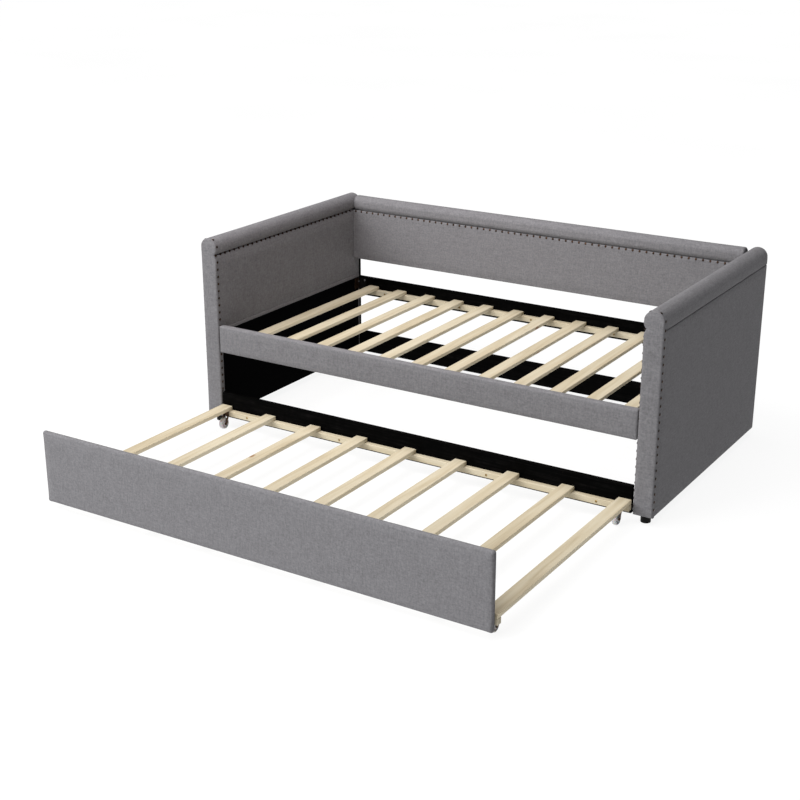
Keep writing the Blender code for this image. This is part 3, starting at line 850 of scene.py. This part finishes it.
# ---------------------------------------------------------------- padded back, rail and trundle front
def back_pad():
    low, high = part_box("back_cover")

    def power(point):
        rear_top = point[2] > high.z - PAD_ROUNDING and point[1] > high.y - PAD_ROUNDING
        return 6 if rear_top else 2

    low_corner = (low.x, low.y, low.z)
    high_corner = (high.x, high.y - SHRINK, high.z - TOP_SETBACK)
    shape = pad_mesh(low_corner, high_corner, PAD_ROUNDING, PAD_STEP, power)
    piece = add_piece("back_pad", *shape, LINEN, "daybed", "upholstery")

    def held(p):
        edge = p.z > high.z - EDGE_HELD or p.z < low.z + EDGE_HELD
        return edge or abs(p.x) > high.x - EDGE_HELD

    return soft(piece, ["back_cover"], held, PANEL_PUFF)


def back_roll():
    low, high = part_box("back_roll")
    width = high.y - low.y
    section, centre = roll_section(width, high.z)
    stations = roll_stations(low.x, high.x, width / 2, (True, True))
    shape = loft_mesh(section, stations, centre, lambda p, d: Vector((d, low.y + p.x, p.y)))
    piece = add_piece("back_roll_pad", *shape, LINEN, "daybed", "upholstery")

    def held(p):
        return p.z < ROLL_FLOOR or abs(p.x) > high.x - TIP_HELD

    return soft(piece, ["back_roll"], held, ROLL_PUFF)


def back_underlining():
    low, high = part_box("back_cover")
    under_low = (low.x + 0.004, low.y + 0.006, low.z - UNDERLINING_DROP)
    under_high = (high.x - 0.004, high.y - 0.006, low.z + UNDERLINING_RISE)
    shape = pad_mesh(under_low, under_high, 0.0006, THIN_STEP)
    add_piece("back_underlining", *shape, NON_WOVEN, "daybed", "lining")


def wrapped_board(name, cover, board, body, rounding):
    """A fabric pad over the front and edges of a board, with the board showing at the back."""
    low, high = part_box(cover)
    shape = pad_mesh(low, high, rounding, PAD_STEP)
    piece = add_piece(name, *shape, LINEN, body, "upholstery")
    soft(piece, [cover], lambda p: p.y > low.y + rounding, PANEL_PUFF * 0.6)
    return piece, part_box(board)


def let_in_board(piece, board_box):
    """Cuts the pocket that the board sits in, once the pad has its final shape."""
    low, high = board_box
    cut_low = (low.x - FIT, low.y - FIT, low.z - FIT)
    cut_high = (high.x + FIT, high.y + LOSE, high.z + FIT)
    cut(piece, cut_low, cut_high)


def make_room_for_liner(piece, side):
    """Cuts the shallow recess in an arm pad that its black lining lies in."""
    x_low, x_high = sorted((side * (INNER - LOSE), side * (LINER_HIGH.x + FIT)))
    cut_low = (x_low, LINER_LOW.y - FIT, ARM_BOTTOM - LOSE)
    cut_high = (x_high, LINER_HIGH.y + FIT, LINER_HIGH.z + FIT)
    cut(piece, cut_low, cut_high)


# ---------------------------------------------------------------- nails, screws and bolts
def nail_shape():
    r = NAIL_RADIUS
    h = NAIL_HEIGHT
    dome = [(r * math.sin(a), h * math.cos(a)) for a in (0.0, 0.35, 0.7, 1.05, 1.35)]
    return lathe_mesh([(0.0, h)] + dome[1:] + [(r, 0.0), (r * 0.9, -0.0012), (0.0, -0.0012)], 14)


def socket_head(radius, height, socket):
    """A low round bolt or screw head with a recess in the middle."""
    profile = [
        (0.0, height * 0.3),
        (socket * 0.9, height * 0.35),
        (socket, height),
        (radius * 0.75, height),
        (radius * 0.95, height * 0.6),
        (radius, 0.0),
        (0.0, -0.0002),
    ]
    return lathe_mesh(profile, 12)


def spaced(start, end, pitch):
    """Even places from start to end, as near to the pitch as fits."""
    count = round((end - start) / pitch)
    return [start + (end - start) * k / count for k in range(count + 1)]


def arm_nails(label, side):
    """Nails down both edges of an arm's facing, round its roll, and along its crease."""
    shape = nail_shape()
    y = FRONT + NAIL_SETBACK
    heights = spaced(ARM_BOTTOM + NAIL_FIRST, CREASE - NAIL_PITCH, NAIL_PITCH)
    inner = [facing_out((side * INNER, y, z), (-side, 0, 0)) for z in heights]
    outer = [facing_out((side * OUTER, y, z), (side, 0, 0)) for z in heights]
    outer.append(facing_out((side * OUTER, y, CREASE + 0.001), (side, 0, 0)))
    pivot = Vector((side * (INNER + OUTER) / 2, y, ROLL_TOP - ROLL_ROUNDING))
    for row, way, bulge in ((inner, -side, ROLL_BULGE), (outer, side, 0.0)):
        for turn in ROLL_NAIL_TURNS:
            angle = math.radians(turn)
            normal = Vector((way * math.cos(angle), 0, math.sin(angle)))
            row.append(facing_out(pivot + normal * (ROLL_ROUNDING + bulge), normal))
    copies(f"{label}_arm_inner_nails", shape, inner, NAIL_BRONZE, "daybed", "bronze_steel")
    copies(f"{label}_arm_outer_nails", shape, outer, NAIL_BRONZE, "daybed", "bronze_steel")
    crease = [
        facing_out((side * (INNER + CREASE_NAIL_INSET), y, CREASE - CREASE_NAIL_DROP), (-side, 0, 0.4))
        for y in spaced(FRONT + 0.006, BACK_FACE - 0.020, NAIL_PITCH)
    ]
    copies(f"{label}_arm_crease_nails", shape, crease, NAIL_BRONZE, "daybed", "bronze_steel")


def back_nails():
    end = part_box("back_cover")[1].x - NAIL_PITCH / 2
    row = [
        facing_out((x, BACK_FACE + BACK_NAIL_SINK, CREASE - BACK_NAIL_DROP), (0, -1, 0.3))
        for x in spaced(-end, end, NAIL_PITCH)
    ]
    copies("back_crease_nails", nail_shape(), row, NAIL_BRONZE, "daybed", "bronze_steel")


def cleat_screws():
    """Screws through the cleats into the rails and boards, on the cleats' inner faces."""
    head = socket_head(*SCREW_HEAD)
    for cleat, way, body, places in CLEAT_SCREWS:
        low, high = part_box(cleat)
        y = high.y if way > 0 else low.y
        z = (low.z + high.z) / 2
        frames = [facing_out((x, y, z), (0, way, 0)) for x in places]
        copies(cleat + "_screws", head, frames, SCREW_BRASS, body, "bronze_steel")


def bracket_fittings():
    """A bronze plate over each bracket's arm leg, with one bolt through each leg."""
    head = socket_head(*BOLT_HEAD)
    for label, side in SIDES:
        for end, inward in (("front", 1), ("back", -1)):
            name = f"bracket_{end}_{label}"
            low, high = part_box(name)
            corner = low.y if inward > 0 else high.y
            wall = side * (INNER - BRACKET_PLATE)
            face = wall - side * (FITTING_GAP + FITTING_THICKNESS)
            x_range = sorted((wall - side * FITTING_GAP, face))
            y_range = sorted((corner + inward * FITTING_NEAR, corner + inward * FITTING_FAR))
            plate_low, plate_high = zip(x_range, y_range, (low.z, high.z))
            shape = pad_mesh(plate_low, plate_high, 0.0005, 0.008)
            add_piece(name + "_plate", *shape, BRONZE, "daybed", "bronze_steel")
            through_arm = (face, corner + inward * ARM_BOLT_REACH, high.z - ARM_BOLT_DROP)
            rail_x = side * (INNER - RAIL_BOLT_REACH)
            through_rail = (rail_x, corner + inward * BRACKET_PLATE, high.z - RAIL_BOLT_DROP)
            frames = [facing_out(through_arm, (-side, 0, 0)), facing_out(through_rail, (0, inward, 0))]
            copies(name + "_bolts", head, frames, BOLT_STEEL, "daybed", "bronze_steel")


# ---------------------------------------------------------------- casters
def wheel_profile(radius, half):
    """Right half of a wheel's section and its mirror: bore, hub, dished web, rim and rounded tread."""
    side = [
        (WHEEL_BORE, half - 0.0002),
        (WHEEL_BORE + 0.0006, half),
        (0.0094, half),
        (0.0100, half - 0.0006),
        (0.0106, half - 0.0034),
        (0.0125, half - 0.0040),
        (radius - 0.0085, half - 0.0040),
        (radius - 0.0065, half - 0.0034),
        (radius - 0.0058, half - 0.0008),
        (radius - 0.0050, half - 0.0002),
        (radius - 0.0035, half - 0.0004),
        (radius - 0.0018, half - 0.0014),
        (radius - 0.0006, half - 0.0030),
        (radius, half - 0.0055),
    ]
    return side + [(r, -w) for r, w in reversed(side)] + [side[0]]


def ribbed_wheel(radius, half):
    """Vertices and faces of a wheel about +Z, with thin ribs across the web on both of its sides."""
    vertices, faces = lathe_mesh(wheel_profile(radius, half), WHEEL_SEGMENTS)
    for face_side in (-1, 1):
        for k in range(WHEEL_RIBS):
            depths = sorted(face_side * (half - depth) for depth in RIB_DEPTH)
            rib_low = (RIB_LENGTH[0], -RIB_HALF, depths[0])
            rib_high = (radius - RIB_LENGTH[1], RIB_HALF, depths[1])
            rib, rib_faces = pad_mesh(rib_low, rib_high, 0.0004, 0.01)
            start = len(vertices)
            turn = Matrix.Rotation(2 * math.pi * k / WHEEL_RIBS, 4, "Z")
            vertices += [turn @ Vector(v) for v in rib]
            faces += [[start + n for n in face] for face in rib_faces]
    return vertices, faces


def caster_wheels():
    for label, side in SIDES:
        for end in ("front", "back"):
            node = f"caster_wheel_{end}_{label}"
            low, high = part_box(node)
            vertices, faces = ribbed_wheel((high.z - low.z) / 2, (high.x - low.x) / 2)
            place = Matrix.Translation((low + high) / 2) @ Matrix.Rotation(math.pi / 2, 4, "Y")
            vertices = [place @ v for v in vertices]
            body = f"wheel_{end}_{label}"
            piece = add_piece(body + "_nylon", vertices, faces, NYLON, body, "white_nylon")
            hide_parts(node)


def axle_rivets():
    dome = [(0.0, 0.0014), (0.0018, 0.0013), (0.0036, 0.0009), (0.0048, 0.0002), (0.0050, 0.0)]
    head = lathe_mesh(dome + [(0.0, -0.0002)], 18)
    for label, side in SIDES:
        for end in ("front", "back"):
            wheel_low, wheel_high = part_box(f"caster_wheel_{end}_{label}")
            fork_low, fork_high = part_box(f"caster_fork_{end}_{label}")
            centre = (wheel_low + wheel_high) / 2
            frames = [
                facing_out((fork_low.x, centre.y, centre.z), (-1, 0, 0)),
                facing_out((fork_high.x, centre.y, centre.z), (1, 0, 0)),
            ]
            copies(f"caster_rivets_{end}_{label}", head, frames, BRONZE, "trundle", "bronze_steel")


# ---------------------------------------------------------------- studio
def camera():
    azimuth = math.radians(CAMERA_AZIMUTH)
    elevation = math.radians(CAMERA_ELEVATION)
    level = math.cos(elevation)
    back = Vector((math.sin(azimuth) * level, -math.cos(azimuth) * level, math.sin(elevation)))
    made = bpy.data.objects.new("camera", bpy.data.cameras.new("camera"))
    made.data.sensor_width = CAMERA_SENSOR
    made.data.lens = CAMERA_LENS
    made.data.clip_end = 200
    made.location = Vector(CAMERA_AIM) + back * CAMERA_DISTANCE
    made.rotation_euler = (-back).to_track_quat("-Z", "Y").to_euler()
    bpy.context.scene.collection.objects.link(made)
    bpy.context.scene.camera = made


def floor():
    mesh = bpy.data.meshes.new("floor")
    work = bmesh.new()
    bmesh.ops.create_circle(work, cap_ends=True, segments=96, radius=FLOOR_RADIUS)
    work.to_mesh(mesh)
    work.free()
    mesh.materials.append(studio_floor())
    made = bpy.data.objects.new("floor", mesh)
    bpy.context.scene.collection.objects.link(made)


def softbox(name, place, aim, size, power, colour):
    light = bpy.data.lights.new(name, "AREA")
    light.shape = "RECTANGLE"
    light.size, light.size_y = size
    light.energy = power
    light.color = colour
    made = bpy.data.objects.new(name, light)
    made.location = place
    made.rotation_euler = (Vector(aim) - Vector(place)).to_track_quat("-Z", "Y").to_euler()
    bpy.context.scene.collection.objects.link(made)


def top_light():
    """A very wide sun, soft as an overcast sky."""
    light = bpy.data.lights.new("top", "SUN")
    light.angle = math.radians(TOP_ANGLE)
    light.energy = TOP_POWER
    made = bpy.data.objects.new("top", light)
    made.rotation_euler = (-Vector(TOP_DIRECTION)).to_track_quat("-Z", "Y").to_euler()
    bpy.context.scene.collection.objects.link(made)


def studio_light():
    world = bpy.data.worlds.new("studio")
    bpy.context.scene.world = world
    world.use_nodes = True
    background = world.node_tree.nodes["Background"]
    background.inputs["Color"].default_value = (1.0, 1.0, 1.0, 1.0)
    background.inputs["Strength"].default_value = WORLD_LIGHT
    for settings in SOFTBOXES:
        softbox(*settings)
    top_light()
    bpy.context.scene.view_settings.view_transform = "Standard"


# ---------------------------------------------------------------- all of it
def main():
    camera()
    floor()
    studio_light()
    finish_cad_nodes()
    arm_pads = []
    for label, side in SIDES:
        arm_pads.append((arm_pad(label, side), side))
        arm_roll(label, side)
        arm_facing(label, side)
        arm_trims(label, side)
        arm_nails(label, side)
    back_pad()
    back_roll()
    back_underlining()
    back_nails()
    rail = wrapped_board("front_rail_pad", "front_rail_cover", "front_rail_board", "daybed", RAIL_ROUNDING)
    panel = wrapped_board(
        "trundle_front_pad", "trundle_front_cover", "trundle_front_board", "trundle", TRUNDLE_ROUNDING
    )
    puff_all()
    subdivide_pads()
    for piece, side in arm_pads:
        make_room_for_liner(piece, side)
    for piece, board in (rail, panel):
        let_in_board(piece, board)
    cleat_screws()
    bracket_fittings()
    caster_wheels()
    axle_rivets()


main()
